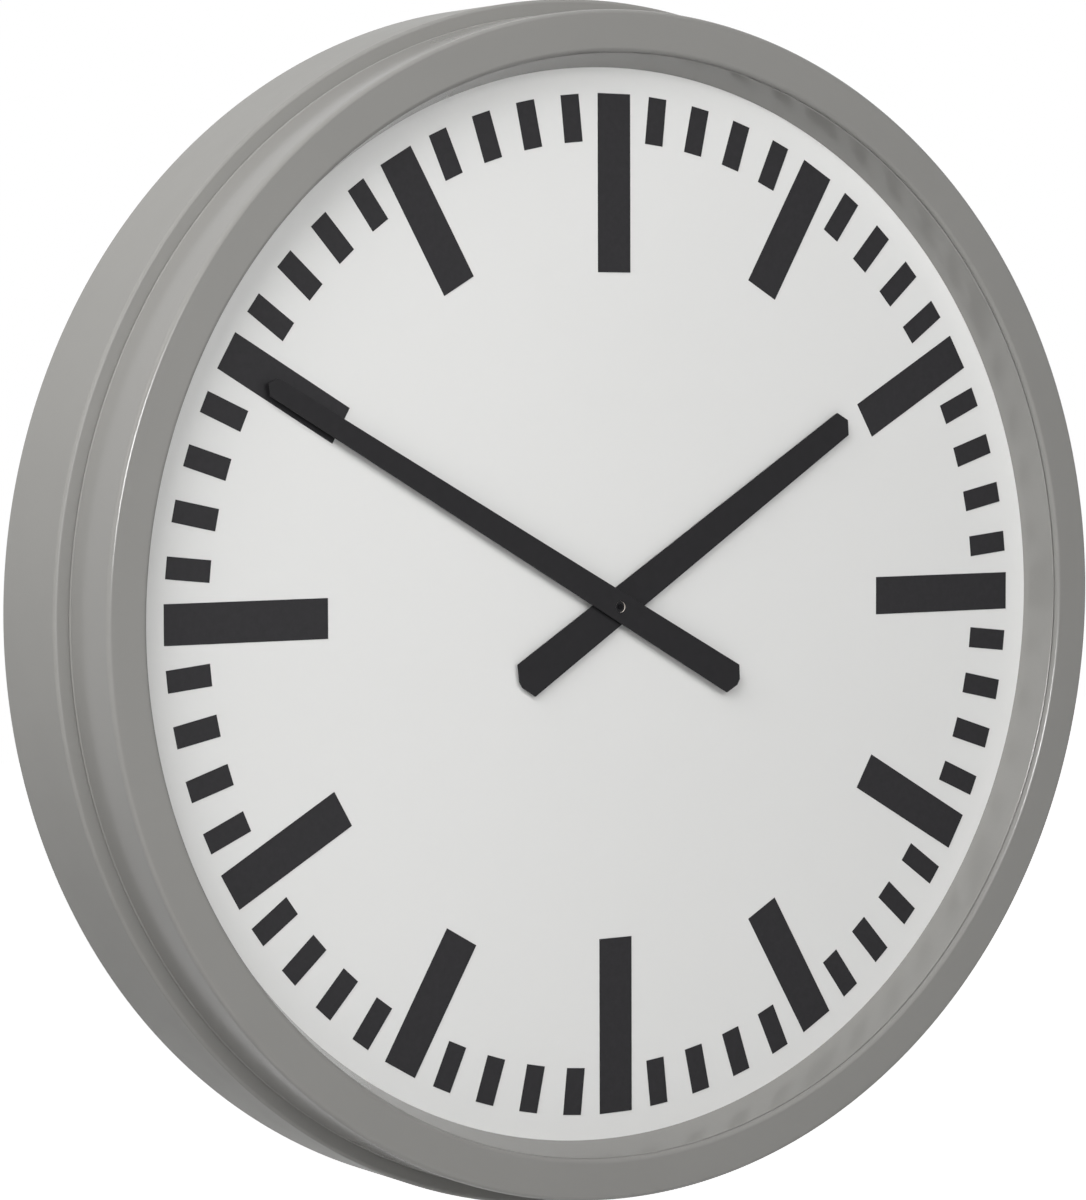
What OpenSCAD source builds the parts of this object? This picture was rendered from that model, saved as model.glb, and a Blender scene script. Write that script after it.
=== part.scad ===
// Large round wall clock in the railway style: a stepped drum of spun steel, a bezel,
// a sloping ring that hides the edge of the dial, a flat dial with block marks, two bar
// hands and a battery movement with its whole train of wheels.
// Every piece is modelled on the bench frame: x to the right, y towards twelve o'clock and
// z out of the dial, with z = 0 on the wall. clock() then stands it up with the dial facing -Y
// and the origin in the slot that hangs on the wall screw.

/* [Case] */
// Outer radius of the rear drum
case_r = 380; // [350:1:420]
// Height of the drum's shoulder above the wall
drum_depth = 67.5; // [64:0.5:75]
// Thickness of the spun steel of drum and bezel
sheet_t = 1.5; // [1.2:0.1:2]
// Outer radius of the bend between the drum's side and its shoulder
shoulder_bend = 2.4; // [2:0.1:6]
// Outer radius of the bend at the drum's rear edge
rear_bend = 2.5; // [2.2:0.1:4]
// Width of the rim that lies on the wall
rim_w = 18; // [16:1:24]
// Width of the flange that carries dial and bezel, measured from the drum's side
flange_w = 58; // [54:1:64]

/* [Bezel] */
// Width of the drum's shoulder that shows outside the bezel
step_w = 10; // [7:0.5:14]
// Width of the bezel's front face
face_w = 26; // [22:0.5:32]
// Height of the bezel's front above the dial
bezel_rise = 25.5; // [22:0.5:30]
// Outer radius of the bend at the front edge
front_bend = 2.8; // [2.2:0.1:4]
// Radius of the rolled bead at the bezel's foot
hem_r = 1.2; // [0.8:0.1:1.6]
// Outer radius of the bend at the opening
lip_bend = 2.8; // [2.2:0.1:4]
// Depth of the turned lip under its bend
lip_depth = 0.6; // [0.4:0.1:2]

/* [Reflector ring] */
// How far the ring leans in from the bezel's opening to the dial
ring_lean = 8; // [6:0.5:12]
// Thickness of the ring
ring_t = 1.2; // [1:0.1:1.6]
// Width of the foot that lies on the dial
foot_w = 4.5; // [3:0.5:6]
// Gap between the bezel's lip and the ring's flange
lip_gap = 0.5; // [0.4:0.1:1.2]
// Gap between the ring's outer edge and the bezel's side
ring_edge_gap = 0.5; // [0.3:0.1:1]

/* [Dial] */
// Height of the dial above the shoulder
dial_rise = 22.5; // [21:0.5:28]
// Thickness of the dial plate
dial_t = 1.5; // [1.2:0.1:2]
// Gap between the marks and the reflector ring
mark_gap = 16; // [10:1:24]
// Width of the hour marks
hour_mark_w = 24.5; // [18:0.5:30]
// Length of the marks at twelve, three, six and nine
quarter_mark_len = 111; // [95:1:120]
// Length of the other hour marks
hour_mark_len = 90; // [75:1:94]
// Width of the minute marks
minute_mark_w = 13.4; // [8:0.2:16]
// Length of the minute marks
minute_mark_len = 29.5; // [22:0.5:36]
// Thickness of the film that the marks are cut from
mark_t = 0.3; // [0.2:0.05:0.5]

/* [Hands] */
// Angle of the minute hand, in degrees after twelve
shown_minute_angle = 299.1; // [0:0.1:359.9]
// Angle of the hour hand, in degrees after twelve
shown_hour_angle = 57.7; // [0:0.1:359.9]
// Thickness of both hands
hand_t = 1.2; // [1:0.1:1.5]
// Gap between the minute hand's point and the minute marks
minute_tip_gap = 1.5; // [0:0.5:20]
// Gap between the hour hand's point and the hour marks
hour_tip_gap = 14; // [8:1:30]
// Length of the minute hand's tail
minute_tail = 105; // [80:1:120]
// Length of the hour hand's tail
hour_tail = 86; // [60:1:100]
// Width of the minute hand at its tip
minute_tip_w = 12; // [8:0.5:16]
// Width of the minute hand at its tail
minute_tail_w = 20; // [17:0.5:24]
// Width of the hour hand at its tip
hour_tip_w = 17.2; // [13:0.2:20]
// Width of the hour hand at its tail
hour_tail_w = 24.2; // [20:0.2:28]
// Length of the point at the end of each hand
point_len = 4.8; // [2:0.2:8]
// Width of the blunt end of each tail
tail_flat_w = 4.5; // [2:0.5:8]
// Radius of the eye in the minute hand
minute_eye_r = 3.8; // [3.2:0.1:4.5]
// Gap between the dial's nut and the hour hand's collet
hour_hand_gap = 0.4; // [0.3:0.1:1]
// Gap between the two hands' collets
hand_gap = 0.5; // [0.3:0.1:1.5]

/* [Movement case] */
// Width of the movement
move_w = 66; // [65:0.5:72]
// Height of the movement
move_h = 66; // [65:0.5:72]
// Depth of the movement
move_d = 19; // [18.6:0.1:22]
// Wall of the movement's two shells
shell_t = 1.8; // [1.5:0.1:2]
// Corner radius of the movement
move_corner = 4; // [3:0.5:6]
// Thickness of the rubber washer behind the dial
rubber_t = 1; // [0.8:0.1:1.5]
// Radius of the battery
cell_r = 7.1; // [7:0.05:7.2]
// Length of the battery
cell_len = 49.5; // [49:0.1:50.4]
// Gap between the battery and its bay
cell_gap = 0.5; // [0.3:0.1:0.8]

/* [Centre] */
// Radius of the threaded centre bush
bush_r = 4.9; // [4.6:0.1:5.2]
// Width of the bush's nut across its flats
nut_flats = 14; // [12:0.5:15]
// Thickness of the bush's nut
nut_t = 1.7; // [1.4:0.1:2.2]
// Thickness of the washer under the nut
washer_t = 0.4; // [0.3:0.1:0.6]
// Radius of the minute arbor
arbor_r = 1.8; // [1.6:0.05:1.9]
// Wall of the hour pipe
pipe_wall = 1.1; // [0.9:0.05:1.2]
// Running clearance of shafts in their bores
run_fit = 0.06; // [0.03:0.01:0.09]
// Clearance of screws and dowels in their holes
screw_fit = 0.2; // [0.1:0.05:0.3]

/* [Wheels] */
// Module of the motion work's wheels
motion_module = 0.35; // [0.34:0.005:0.36]
// Module of the centre and third wheels
train_module = 0.3; // [0.295:0.005:0.305]
// Module of the seconds and drive wheels
fine_module = 0.25; // [0.245:0.005:0.255]
// Thickness of the wheels
wheel_t = 1; // [0.8:0.1:1.1]
// Radius of the wheels' pivots
pivot_r = 0.6; // [0.5:0.05:0.7]

/* [Hanging] */
// Distance from the drum's outer edge in to the top of the hanging slot
hanger_inset = 60; // [52:1:90]
// Half width of the hanging slot
slot_r = 2.8; // [2.5:0.1:3.2]
// Radius of the keyhole's entry
entry_r = 5.6; // [5.2:0.1:6.5]
// Distance from the keyhole's entry to the top of the slot
slot_len = 14; // [12:0.5:18]
// Radius of the access hole in the back panel
access_r = 80; // [70:1:90]
// Thickness of the back panel
panel_t = 1.5; // [1.2:0.1:2]

/* [Fixings] */
// Number of brackets between drum, ring and bezel
bracket_count = 8; // [6:1:12]
// Number of posts under the dial
post_count = 6; // [4:1:8]
// Number of screws round the back panel
panel_screw_count = 8; // [6:1:12]
// Radius of the posts
post_r = 5; // [4.5:0.1:6]
// Radius of the screws' shanks
screw_r = 2; // [1.8:0.1:2.2]
// Radius of the screws' heads
screw_head_r = 4; // [3.6:0.1:4.4]
// Height of the screws' heads
screw_head_h = 2.4; // [2:0.1:2.8]

/* [Hidden] */

// How finely round things are drawn
ring_fn = 180;
part_fn = 48;
small_fn = 24;
// A cutter reaches this far past the face that it opens
cut = 1;

// Radii of the stepped rings
bezel_r = case_r - step_w;
lip_r = bezel_r - face_w;
view_r = lip_r - ring_lean;
mark_r = view_r - mark_gap;
flange_r = case_r - flange_w;
hang_drop = case_r - hanger_inset;
rim_r = case_r - rim_w;
hem_gap = 0.1;
hem_in = 0.7;

// Heights above the wall
shoulder_z = drum_depth;
dial_z = shoulder_z + dial_rise;
face_z = dial_z + bezel_rise;
lip_z = face_z - lip_bend - lip_depth;
ring_top_z = lip_z - lip_gap;
dial_back_z = dial_z - dial_t;
front_z = dial_back_z - rubber_t;
back_z = front_z - move_d;
cavity_z = front_z - shell_t;
floor_z = back_z + shell_t;
back_shell_d = 9;
split_z = back_z + back_shell_d;

// Stack of pieces on the centre, from the movement to the hands
bush_flange_t = 0.8;
bush_bottom_z = cavity_z - bush_flange_t;
nut_top_z = dial_z + washer_t + nut_t;
bush_proud = 0.1;
bush_top_z = nut_top_z + bush_proud;
pipe_bore_r = arbor_r + run_fit;
pipe_r = pipe_bore_r + pipe_wall;
collet_flange_t = 0.7;
hour_hand_z = bush_top_z + hour_hand_gap;
hour_collet_top_z = hour_hand_z + hand_t + collet_flange_t;
minute_collet_z = hour_collet_top_z + hand_gap;
minute_hand_z = minute_collet_z + collet_flange_t;
arbor_top_z = minute_hand_z + hand_t * 0.6;

// Levels of the wheels, from the front plate to the back
bush_level_gap = 0.3;
cannon_level_gap = 0.4;
centre_level_gap = 0.8;
third_level_gap = 1;
seconds_level_gap = 0.8;
level_shift = 0.2;
hour_level = bush_bottom_z - bush_level_gap - wheel_t;
cannon_level = hour_level - cannon_level_gap - wheel_t;
centre_level = cannon_level - centre_level_gap - wheel_t;
drive_level = centre_level - level_shift;
third_level = centre_level - third_level_gap - wheel_t;
seconds_level = third_level - seconds_level_gap - wheel_t;
plate_t = 1;
plate_lift = 1.6;
train_plate_z = floor_z + plate_lift;
// Pinions reach past the wheels that they meet
pinion_over = 0.3;
pinion_h = wheel_t + 2 * pinion_over;

// Numbers of teeth
cannon_teeth = 12;
motion_teeth = 36;
motion_pinion = 10;
hour_teeth = 40;
knob_teeth = 12;
centre_teeth = 64;
third_pinion = 8;
third_teeth = 60;
seconds_pinion = 8;
seconds_teeth = 60;
drive_pinion = 12;
drive_teeth = 60;
rotor_teeth = 10;

// Where the arbors stand: each is one centre distance from the one before it
function along(p, d, a) = [p[0] + d * cos(a), p[1] + d * sin(a)];
function spread(m, n1, n2) = m * (n1 + n2) / 2;
motion_at_angle = 180;
third_at_angle = 60;
seconds_at_angle = 20;
drive_at_angle = -50;
rotor_at_angle = -60;
centre_at = [0, 0];
motion_spread = spread(motion_module, cannon_teeth, motion_teeth);
hour_module = 2 * motion_spread / (motion_pinion + hour_teeth);
motion_at = along(centre_at, motion_spread, motion_at_angle);
knob_at = along(motion_at, spread(motion_module, motion_teeth, knob_teeth), motion_at_angle);
third_at = along(centre_at, spread(train_module, centre_teeth, third_pinion), third_at_angle);
seconds_at = along(third_at, spread(train_module, third_teeth, seconds_pinion), seconds_at_angle);
drive_at = along(seconds_at, spread(fine_module, seconds_teeth, drive_pinion), drive_at_angle);
rotor_at = along(drive_at, spread(fine_module, drive_teeth, rotor_teeth), rotor_at_angle);

// Turn of a wheel that puts it in mesh: n1 teeth turned by p1 stand at angle a from n2 teeth
function meshed(n1, p1, n2, a) = a + 180 - 360 / n2 * (0.5 - (a - p1) * n1 / 360);
minute_angle = 90 - shown_minute_angle;
hour_angle = 90 - shown_hour_angle;
motion_turn = meshed(cannon_teeth, 0, motion_teeth, motion_at_angle);
hour_turn = meshed(motion_pinion, 0, hour_teeth, motion_at_angle + 180);
knob_turn = meshed(motion_teeth, motion_turn, knob_teeth, motion_at_angle);
third_turn = meshed(centre_teeth, 0, third_pinion, third_at_angle);
seconds_turn = meshed(third_teeth, 0, seconds_pinion, seconds_at_angle);
drive_turn = meshed(seconds_teeth, 0, drive_pinion, drive_at_angle);
rotor_turn = meshed(drive_teeth, 0, rotor_teeth, rotor_at_angle);

// Battery bay
bay_h = 2 * (cell_r + cell_gap);
bay_wall = 1.2;
cell_y = -move_h / 2 + shell_t + cell_gap + cell_r;
cell_z = cavity_z - cell_gap - cell_r;
bay_top_y = cell_y + cell_r + cell_gap;
contact_t = 0.4;
contact_room = 2.4;
bay_end_x = cell_len / 2 + contact_room;
plate_gap = 0.3;
plate_edge_x = move_w / 2 - shell_t - plate_gap;
plate_waist_x = 25;

// Brackets, posts and screws
bracket_t = 1.5;
bracket_angle = 3.2;
bracket_start_angle = 22.5;
bracket_foot_w = 17;
screw_tail = 3;
weld_gap = 0.3;
bracket_r = bezel_r - sheet_t - weld_gap;
bracket_screw_r = bracket_r - bracket_foot_w / 2;
post_inset = 7;
post_ring_r = view_r - post_inset;
panel_inset = 6;
panel_screw_inset = 10.5;
panel_r = case_r - sheet_t - panel_inset;
panel_screw_r = case_r - panel_screw_inset;
nut_play = 0.05;
nut_h = 3;
sink_r = 3.6;
sink_depth = 0.1;
// Share of a screw's head that is straight, and the narrow end of its dome
head_rim = 0.45;
head_crown = 0.72;

// Stands a bench piece up on the wall
module clock() translate([0, 0, -hang_drop]) rotate([90, 0, 0]) children();

module around(n, start = 0) {
    for (i = [0:n - 1]) rotate([0, 0, start + i * 360 / n]) children();
}

// One quarter of a ring, for a bent edge: quadrant 0 opens to +x +y, counted anticlockwise
module bend(r, t, quadrant) {
    rotate(90 * quadrant) intersection() {
        difference() {
            circle(r, $fn = part_fn);
            circle(r - t, $fn = part_fn);
        }
        square(r + cut);
    }
}

module box_2d(x1, y1, x2, y2) translate([x1, y1]) square([x2 - x1, y2 - y1]);

module rounded_plate(w, h, r, t) {
    linear_extrude(t) union() {
        square([w - 2 * r, h], center = true);
        square([w, h - 2 * r], center = true);
        for (sx = [-1, 1], sy = [-1, 1])
            translate([sx * (w / 2 - r), sy * (h / 2 - r)]) circle(r, $fn = part_fn);
    }
}

// Screw with its head below z = 0 and its shank above
module screw_up(len) {
    translate([0, 0, -screw_head_h * head_rim])
        cylinder(r = screw_head_r, h = screw_head_h * head_rim, $fn = small_fn);
    translate([0, 0, -screw_head_h]) cylinder(r1 = screw_head_r * head_crown, r2 = screw_head_r,
        h = screw_head_h * (1 - head_rim), $fn = small_fn);
    cylinder(r = screw_r, h = len, $fn = small_fn);
}

// The case

module drum_section() {
    box_2d(rim_r, 0, case_r - rear_bend, sheet_t);
    translate([case_r - rear_bend, rear_bend]) bend(rear_bend, sheet_t, 3);
    box_2d(case_r - sheet_t, rear_bend, case_r, shoulder_z - shoulder_bend);
    translate([case_r - shoulder_bend, shoulder_z - shoulder_bend]) bend(shoulder_bend, sheet_t, 0);
    box_2d(flange_r, shoulder_z - sheet_t, case_r - shoulder_bend, shoulder_z);
}

module case_drum() {
    color("#8f8f8a") clock() difference() {
        rotate_extrude($fn = ring_fn) drum_section();
        around(bracket_count, bracket_start_angle) translate([bracket_screw_r, 0, shoulder_z - sheet_t - cut])
            cylinder(r = screw_r + screw_fit, h = sheet_t + 2 * cut, $fn = small_fn);
        around(post_count) translate([post_ring_r, 0, shoulder_z - sheet_t - cut])
            cylinder(r = screw_r + screw_fit, h = sheet_t + 2 * cut, $fn = small_fn);
        around(panel_screw_count) translate([panel_screw_r, 0, 0]) {
            translate([0, 0, -cut]) cylinder(r = screw_r + screw_fit, h = sheet_t + 2 * cut, $fn = small_fn);
            cylinder(r1 = sink_r + screw_fit, r2 = screw_r + screw_fit, h = sheet_t, $fn = small_fn);
        }
    }
}

module keyhole(grow, depth) {
    translate([0, 0, -cut]) {
        cylinder(r = slot_r + grow, h = depth + 2 * cut, $fn = part_fn);
        translate([0, -slot_len, 0]) cylinder(r = entry_r + grow, h = depth + 2 * cut, $fn = part_fn);
        translate([-slot_r - grow, -slot_len, 0]) cube([2 * (slot_r + grow), slot_len, depth + 2 * cut]);
    }
}

hanger_w = 90;
hanger_h = 46;
hanger_corner = 6;
hanger_drop = slot_len / 2;
slot_relief = 2;
rivet_r = 2;
rivet_inset = 9;
rivet_x = hanger_w / 2 - rivet_inset;
rivet_y = hanger_h / 2 - rivet_inset;
rivet_head_r = 3.8;
rivet_crown_r = 2.4;
rivet_head_h = 1.2;

module rivet_places() {
    translate([0, hang_drop - hanger_drop, 0]) for (sx = [-1, 1], sy = [-1, 1])
        translate([sx * rivet_x, sy * rivet_y, 0]) children();
}

module back_panel() {
    color("#6d6c69") clock() translate([0, 0, sheet_t]) difference() {
        cylinder(r = panel_r, h = panel_t, $fn = ring_fn);
        translate([0, 0, -cut]) cylinder(r = access_r, h = panel_t + 2 * cut, $fn = ring_fn);
        translate([0, hang_drop, 0]) keyhole(slot_relief, panel_t);
        rivet_places() translate([0, 0, -cut]) cylinder(r = rivet_r, h = panel_t + 2 * cut, $fn = small_fn);
        around(panel_screw_count) translate([panel_screw_r, 0, -cut])
            cylinder(r = screw_r + nut_play, h = panel_t + 2 * cut, $fn = small_fn);
    }
}

// The plate fills the step between the panel and the wall, so that its slot lies at the origin
module hanger_plate() {
    color("silver") clock() difference() {
        translate([0, hang_drop - hanger_drop, 0]) rounded_plate(hanger_w, hanger_h, hanger_corner, sheet_t);
        translate([0, hang_drop, 0]) keyhole(0, sheet_t);
        rivet_places() translate([0, 0, -cut]) cylinder(r = rivet_r, h = sheet_t + 2 * cut, $fn = small_fn);
    }
}

module hanger_rivets() {
    color("silver") clock() rivet_places() {
        cylinder(r = rivet_r, h = sheet_t + panel_t, $fn = small_fn);
        translate([0, 0, sheet_t + panel_t])
            cylinder(r1 = rivet_head_r, r2 = rivet_crown_r, h = rivet_head_h, $fn = small_fn);
    }
}

// Screws enter from the wall side, with heads countersunk just below the rim, and take nuts
module panel_screws() {
    screw_top_z = sheet_t + panel_t + nut_h + sheet_t;
    color("silver") clock() around(panel_screw_count) translate([panel_screw_r, 0, sink_depth]) {
        cylinder(r = screw_r, h = screw_top_z - sink_depth, $fn = small_fn);
        cylinder(r1 = sink_r, r2 = screw_r, h = sheet_t - sink_depth, $fn = small_fn);
        translate([0, 0, sheet_t + panel_t - sink_depth])
            cylinder(r = screw_head_r, h = nut_h, $fn = 6);
    }
}

// Two pads low down on the panel, as thick as the rim that it hangs behind
pad_r = 11;
pad_inset = 4;
pad_angle = 35;
module wall_pads() {
    color("#2b2b2b") clock() for (a = [-90 - pad_angle, -90 + pad_angle])
        translate(concat(along([0, 0], rim_r - pad_r - pad_inset, a), [0]))
            cylinder(r = pad_r, h = sheet_t, $fn = part_fn);
}

// The bezel

module bezel_section() {
    translate([bezel_r - hem_in, shoulder_z + hem_gap + hem_r]) circle(hem_r, $fn = part_fn);
    box_2d(bezel_r - sheet_t, shoulder_z + hem_gap + hem_r, bezel_r, face_z - front_bend);
    translate([bezel_r - front_bend, face_z - front_bend]) bend(front_bend, sheet_t, 0);
    box_2d(lip_r + lip_bend, face_z - sheet_t, bezel_r - front_bend, face_z);
    translate([lip_r + lip_bend, face_z - lip_bend]) bend(lip_bend, sheet_t, 1);
    box_2d(lip_r, lip_z, lip_r + sheet_t, face_z - lip_bend);
}

module bezel_ring() {
    color("#8f8f8a") clock() rotate_extrude($fn = ring_fn) bezel_section();
}

// Sheet bracket bent like a C: its foot is screwed to the drum and its head carries the ring
// Its web is raised towards the bezel, where it is spot-welded, and clears the rolled bead
tab_rise = 1.2;
tab_inset = 3.6;
module bracket_section() {
    web_r = bracket_r - tab_rise;
    head_z = ring_top_z - ring_t;
    box_2d(bracket_r - bracket_foot_w, shoulder_z, web_r, shoulder_z + bracket_t);
    box_2d(web_r - bracket_t, shoulder_z, web_r, head_z);
    box_2d(bracket_r - bracket_foot_w, head_z - bracket_t, web_r, head_z);
    box_2d(web_r - bracket_t, shoulder_z + tab_inset, bracket_r, head_z - tab_inset);
}

module bezel_brackets() {
    color("silver") clock() around(bracket_count, bracket_start_angle) difference() {
        rotate([0, 0, -bracket_angle / 2])
            rotate_extrude(angle = bracket_angle, $fn = ring_fn) bracket_section();
        translate([bracket_screw_r, 0, shoulder_z - cut])
            cylinder(r = screw_r + nut_play, h = bracket_t + 2 * cut, $fn = small_fn);
        translate([bracket_screw_r, 0, ring_top_z - ring_t - bracket_t - cut])
            cylinder(r = rivet_r + nut_play, h = bracket_t + 2 * cut, $fn = small_fn);
    }
}

module bezel_screws() {
    color("silver") clock() around(bracket_count, bracket_start_angle)
        translate([bracket_screw_r, 0, shoulder_z - sheet_t]) screw_up(sheet_t + bracket_t + screw_tail);
}

// The ring between bezel and dial

module reflector_section() {
    lean_top_r = lip_r - lip_cover;
    box_2d(view_r, dial_z, view_r + foot_w, dial_z + ring_t);
    polygon([[view_r, dial_z], [view_r + ring_t, dial_z], [lean_top_r + ring_t, ring_top_z],
        [lean_top_r, ring_top_z - ring_t / 2]]);
    translate([lean_top_r + ring_t / 2, ring_top_z - ring_t / 2]) circle(ring_t / 2, $fn = part_fn);
    box_2d(lean_top_r + ring_t / 2, ring_top_z - ring_t, bezel_r - sheet_t - ring_edge_gap, ring_top_z);
}

lip_cover = 0.6;
module reflector_ring() {
    color("#85857f") clock() difference() {
        rotate_extrude($fn = ring_fn) reflector_section();
        around(bracket_count, bracket_start_angle) translate([bracket_screw_r, 0, ring_top_z - ring_t - cut])
            cylinder(r = rivet_r + nut_play, h = ring_t + 2 * cut, $fn = small_fn);
    }
}

module reflector_rivets() {
    low_z = ring_top_z - ring_t - bracket_t;
    color("silver") clock() around(bracket_count, bracket_start_angle) translate([bracket_screw_r, 0, 0]) {
        translate([0, 0, ring_top_z])
            cylinder(r1 = rivet_head_r, r2 = rivet_crown_r, h = rivet_head_h, $fn = small_fn);
        translate([0, 0, low_z]) cylinder(r = rivet_r, h = ring_t + bracket_t, $fn = small_fn);
        translate([0, 0, low_z - rivet_head_h])
            cylinder(r1 = rivet_crown_r, r2 = rivet_head_r, h = rivet_head_h, $fn = small_fn);
    }
}

// The dial

dial_margin = 1;
module dial_plate() {
    color("#e2e2e0") clock() translate([0, 0, dial_back_z]) difference() {
        cylinder(r = view_r + foot_w + dial_margin, h = dial_t, $fn = ring_fn);
        translate([0, 0, -cut]) cylinder(r = bush_r + screw_fit, h = dial_t + 2 * cut, $fn = part_fn);
    }
}

// Threaded posts welded to the back of the dial
post_hole_h = 12;
post_screw_in = 9;
module dial_posts() {
    color("silver") clock() around(post_count) translate([post_ring_r, 0, shoulder_z]) difference() {
        cylinder(r = post_r, h = dial_back_z - shoulder_z, $fn = part_fn);
        translate([0, 0, -cut]) cylinder(r = screw_r + nut_play, h = post_hole_h + cut, $fn = small_fn);
    }
}

module dial_screws() {
    color("silver") clock() around(post_count)
        translate([post_ring_r, 0, shoulder_z - sheet_t]) screw_up(sheet_t + post_screw_in);
}

module mark(w, len) translate([mark_r - len, -w / 2, dial_z]) cube([len, w, mark_t]);

module hour_marks() {
    color("#303033") clock() for (k = [0:11])
        rotate([0, 0, 30 * k]) mark(hour_mark_w, k % 3 == 0 ? quarter_mark_len : hour_mark_len);
}

module minute_marks() {
    color("#303033") clock() for (k = [0:59])
        if (k % 5 != 0) rotate([0, 0, 6 * k]) mark(minute_mark_w, minute_mark_len);
}

// The hands, drawn pointing along x

module hand_outline(tip, tail, tip_w, tail_w) {
    polygon([[tip, 0], [tip - point_len, tip_w / 2], [point_len - tail, tail_w / 2], [-tail, tail_flat_w / 2],
        [-tail, -tail_flat_w / 2], [point_len - tail, -tail_w / 2], [tip - point_len, -tip_w / 2]]);
}

module minute_hand() {
    color("#29292b") clock() translate([0, 0, minute_hand_z]) rotate([0, 0, minute_angle])
        linear_extrude(hand_t) difference() {
            hand_outline(mark_r - minute_mark_len - minute_tip_gap, minute_tail, minute_tip_w, minute_tail_w);
            circle(minute_eye_r, $fn = part_fn);
        }
}

module hour_hand() {
    color("#29292b") clock() translate([0, 0, hour_hand_z]) rotate([0, 0, hour_angle])
        linear_extrude(hand_t) difference() {
            hand_outline(mark_r - hour_mark_len - hour_tip_gap, hour_tail, hour_tip_w, hour_tail_w);
            circle(pipe_r + collet_wall, $fn = part_fn);
        }
}

// The minute hand's collet is a cup in the hand's eye, sunk below the hand's face
collet_wall = 1;
minute_flange_w = 2.2;
hour_flange_w = 2;
cup_wall = 0.4;
cup_floor = 0.2;
cup_sink = 0.1;
module minute_collet() {
    color("#1f1f20") clock() difference() {
        union() {
            translate([0, 0, minute_collet_z])
                cylinder(r = minute_eye_r + minute_flange_w, h = collet_flange_t, $fn = part_fn);
            translate([0, 0, minute_hand_z]) difference() {
                cylinder(r = minute_eye_r, h = hand_t - cup_sink, $fn = part_fn);
                translate([0, 0, cup_floor]) cylinder(r = minute_eye_r - cup_wall, h = hand_t, $fn = part_fn);
            }
        }
        translate([0, 0, minute_collet_z - cut])
            cylinder(r = arbor_r, h = collet_flange_t + hand_t + 2 * cut, $fn = part_fn);
    }
}

collet_foot = 0.3;
module hour_collet() {
    color("#b5943f") clock() difference() {
        union() {
            translate([0, 0, hour_hand_z - collet_foot])
                cylinder(r = pipe_r + collet_wall, h = collet_foot + hand_t, $fn = part_fn);
            translate([0, 0, hour_hand_z + hand_t])
                cylinder(r = pipe_r + collet_wall + hour_flange_w, h = collet_flange_t, $fn = part_fn);
        }
        translate([0, 0, hour_hand_z - collet_foot - cut])
            cylinder(r = pipe_r, h = collet_foot + hand_t + collet_flange_t + 2 * cut, $fn = part_fn);
    }
}

// Pieces on the centre

bush_flange_w = 2.4;
module centre_bush() {
    color("#b5943f") clock() difference() {
        union() {
            translate([0, 0, bush_bottom_z])
                cylinder(r = bush_r + bush_flange_w, h = bush_flange_t, $fn = part_fn);
            translate([0, 0, cavity_z]) cylinder(r = bush_r, h = bush_top_z - cavity_z, $fn = part_fn);
        }
        translate([0, 0, bush_bottom_z - cut])
            cylinder(r = pipe_r + run_fit, h = bush_top_z - bush_bottom_z + 2 * cut, $fn = part_fn);
    }
}

module bush_nut() {
    color("#b5943f") clock() translate([0, 0, dial_z + washer_t]) difference() {
        intersection() {
            cylinder(r = nut_flats / sqrt(3), h = nut_t, $fn = 6);
            cylinder(r1 = nut_flats / 2 + nut_t, r2 = nut_flats / 2, h = nut_t, $fn = part_fn);
        }
        translate([0, 0, -cut]) cylinder(r = bush_r + nut_play, h = nut_t + 2 * cut, $fn = part_fn);
    }
}

washer_w = 3.1;
module bush_washer() {
    color("silver") clock() translate([0, 0, dial_z]) difference() {
        cylinder(r = bush_r + washer_w, h = washer_t, $fn = part_fn);
        translate([0, 0, -cut]) cylinder(r = bush_r + screw_fit, h = washer_t + 2 * cut, $fn = part_fn);
    }
}

rubber_w = 11.1;
module rubber_washer() {
    color("#232323") clock() translate([0, 0, front_z]) difference() {
        cylinder(r = bush_r + rubber_w, h = rubber_t, $fn = part_fn);
        translate([0, 0, -cut]) cylinder(r = bush_r + screw_fit, h = rubber_t + 2 * cut, $fn = part_fn);
    }
}

// Wheels: each tooth is a root, a pitch and a tip width, as shares of the pitch angle

wheel_tooth = [0.9, 1.2, 0.26, 0.19, 0.07];
pinion_tooth = [0.6, 1.25, 0.19, 0.19, 0.08];

function tooth_points(n, m, t) = [
    for (s = [[-t[1], -t[2]], [0, -t[3]], [t[0], -t[4]], [t[0], t[4]], [0, t[3]], [-t[1], t[2]]])
        [m * (n / 2 + s[0]), s[1] * 360 / n]];

module teeth(n, m, tooth, turn, thick) {
    outline = [for (i = [0:n - 1]) for (p = tooth_points(n, m, tooth))
        [p[0] * cos(p[1] + i * 360 / n), p[0] * sin(p[1] + i * 360 / n)]];
    rotate([0, 0, turn]) linear_extrude(thick) polygon(outline);
}

// Wheel with a hub, a rim and five windows between them; a hub of no radius has no windows
wheel_windows = 5;
wheel_rim_w = 1;
hub_gap = 0.7;
window_share = 0.45;
module wheel(n, m, turn, hub) {
    out_r = m * (n / 2 - wheel_tooth[1]) - wheel_rim_w;
    mid_r = (out_r + hub + hub_gap) / 2;
    window_r = min((out_r - hub - hub_gap) / 2, mid_r * window_share);
    difference() {
        teeth(n, m, wheel_tooth, turn, wheel_t);
        if (window_r > 0) around(wheel_windows, turn) translate([mid_r, 0, -cut])
            cylinder(r = window_r, h = wheel_t + 2 * cut, $fn = small_fn);
    }
}

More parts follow.
